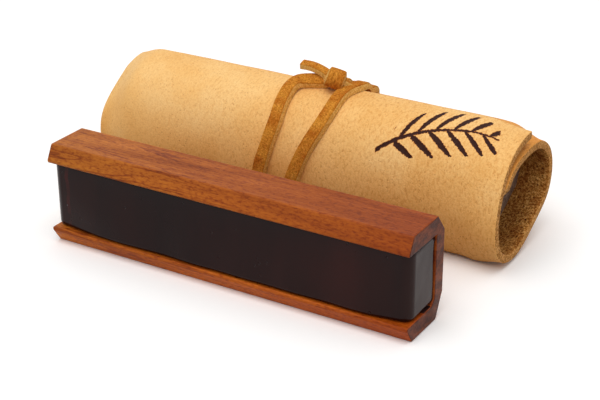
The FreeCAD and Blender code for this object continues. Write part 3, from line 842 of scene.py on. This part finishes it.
def wind_lace():
    """Two turns of lace, the knot that joins them and the free tail."""
    start, end = LACE_ROUTE[0][0], LACE_ROUTE[-1][0]
    path = [lace_point(start + (end - start) * step / LACE_STEPS) for step in range(LACE_STEPS + 1)]
    turns = lay_lace("lace_turns", path)
    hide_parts("tie_lace")

    heart = (path[0][0] + path[-1][0]) * 0.5 + Vector(KNOT_FROM_STRANDS)
    twist = Matrix.Rotation(math.radians(KNOT_TWIST), 3, "Z")
    lean = Matrix.Rotation(math.radians(KNOT_LEAN), 3, "Y") @ twist
    band = []
    for step in range(KNOT_STEPS + 1):
        share = step / KNOT_STEPS
        angle = math.radians(KNOT_START - KNOT_SWEEP * share)
        facing = Vector((0, math.cos(angle), math.sin(angle)))
        out = KNOT_CORE * (1 + KNOT_PINCH * math.cos(2 * angle + KNOT_PINCH_TURN))
        ring = lean @ (facing * out + Vector((KNOT_DRIFT * (share - 0.5), 0, 0)))
        ring.z *= KNOT_FLATTENING if ring.z < 0 else 1
        band.append((heart + ring, lean @ facing, KNOT_LACE_THICKNESS))
    lay_lace("lace_knot", band, KNOT_LACE_WIDTH)

    upward = Vector(CORE_FACING).normalized()
    sink = upward * CORE_THICKNESS / 2
    core = [(heart + place - sink, upward, CORE_THICKNESS) for place in spline(CORE_LINE, TAIL_STEPS)]
    lay_lace("lace_through_knot", core, CORE_WIDTH)

    facing = Vector(TAIL_FACING).normalized()
    sink = facing * TAIL_SINK
    tail = [(heart + place - sink, facing, TAIL_THICKNESS) for place in spline(TAIL_LINE, TAIL_STEPS)]
    lay_lace("lace_tail", tail, TAIL_WIDTH)


eased_copy("cake_holder", HARDWOOD, "cake", "holder_wood")
eased_copy("wrapped_holder", DUSTY_HARDWOOD, "wrapped_cake", "wrapped_holder_wood")
poured_copy("cake_rosin", "cake")
wrapped_bar()
roll_up_sheet()
wind_lace()


# ---------------------------------------------------------------- studio

def pale_floor():
    """Seamless white paper: it keeps the soft shadows and reads as white where nothing shades it, and
    further off it turns to plain white. It throws less light back on the object than it shows."""
    material = bpy.data.materials.new("white_paper_sweep")
    material.use_nodes = True
    tree = material.node_tree
    tree.nodes.clear()
    dull = add(tree, "BsdfDiffuse", {"Color": "#bcb8b4"})
    paper = add(tree, "BsdfDiffuse", {"Color": (1.1, 1.09, 1.08, 1)})
    place = add(tree, "TexCoord").node.outputs["Object"]
    away = add(tree, "VectorMath", [place], operation="LENGTH").node.outputs["Value"]
    far = add(tree, "MapRange", [away, *PAPER_FADE])
    plain = add(tree, "Emission", {"Color": "#ffffff", "Strength": 1.0})
    paper = add(tree, "MixShader", [far, paper, plain])
    seen = add(tree, "LightPath").node.outputs
    rays = add(tree, "Math", [seen["Is Camera Ray"], seen["Is Glossy Ray"]], operation="MAXIMUM")
    add(tree, "OutputMaterial", [add(tree, "MixShader", [rays, dull, paper])])
    form = bmesh.new()
    bmesh.ops.create_grid(form, x_segments=1, y_segments=1, size=PAPER_SIZE)
    mesh = bpy.data.meshes.new("floor")
    form.to_mesh(mesh)
    form.free()
    mesh.materials.append(material)
    floor = bpy.data.objects.new("floor", mesh)
    scene.collection.objects.link(floor)


def softbox(name, place, target, size, watts):
    """A rectangular lamp that faces its target, with its place and size in metres."""
    lamp = bpy.data.lights.new(name, "AREA")
    lamp.shape = "RECTANGLE"
    lamp.size, lamp.size_y = size
    lamp.energy = watts
    box = bpy.data.objects.new(name, lamp)
    box.location = place
    box.rotation_euler = (Vector(target) - Vector(place)).to_track_quat("-Z", "Y").to_euler()
    scene.collection.objects.link(box)


def daylight():
    """A white tent: even light from all round, and plain white behind the object and in its shine."""
    world = bpy.data.worlds.new("white_tent")
    scene.world = world
    world.use_nodes = True
    tree = world.node_tree
    tree.nodes.clear()
    plain = add(tree, "Background", {"Color": "#ffffff", "Strength": DAYLIGHT})
    white = add(tree, "Background", {"Color": "#ffffff", "Strength": 1.0})
    seen = add(tree, "LightPath").node.outputs
    rays = add(tree, "Math", [seen["Is Camera Ray"], seen["Is Glossy Ray"]], operation="MAXIMUM")
    add(tree, "OutputWorld", [add(tree, "MixShader", [rays, plain, white])])


def camera():
    """Looks down at the front right, as a product is shown on a table."""
    azimuth = math.radians(CAMERA_AZIMUTH)
    elevation = math.radians(CAMERA_ELEVATION)
    roll = math.radians(CAMERA_ROLL)
    back = Vector((math.sin(azimuth) * math.cos(elevation), -math.cos(azimuth) * math.cos(elevation),
                   math.sin(elevation)))
    right = Vector((0, 0, 1)).cross(back).normalized()
    up = back.cross(right)
    turned_right = math.cos(roll) * right + math.sin(roll) * up
    turned_up = math.cos(roll) * up - math.sin(roll) * right
    data = bpy.data.cameras.new("camera")
    data.sensor_width = CAMERA_SENSOR
    data.lens = CAMERA_LENS
    data.clip_start, data.clip_end = 0.01, 10
    eye = bpy.data.objects.new("camera", data)
    basis = Matrix((turned_right, turned_up, back)).transposed().to_4x4()
    eye.matrix_world = Matrix.Translation(Vector(CAMERA_PLACE) * MM) @ basis
    scene.collection.objects.link(eye)
    scene.camera = eye


pale_floor()
daylight()
softbox("key_softbox", place=(0.06, -0.40, 0.82), target=(0, 0.02, 0), size=(0.8, 0.8), watts=4.0)
softbox("overhead_softbox", place=(0, 0.05, 0.9), target=(0, 0.02, 0), size=(1.0, 1.0), watts=1.5)
camera()
scene.view_settings.view_transform = "Standard"
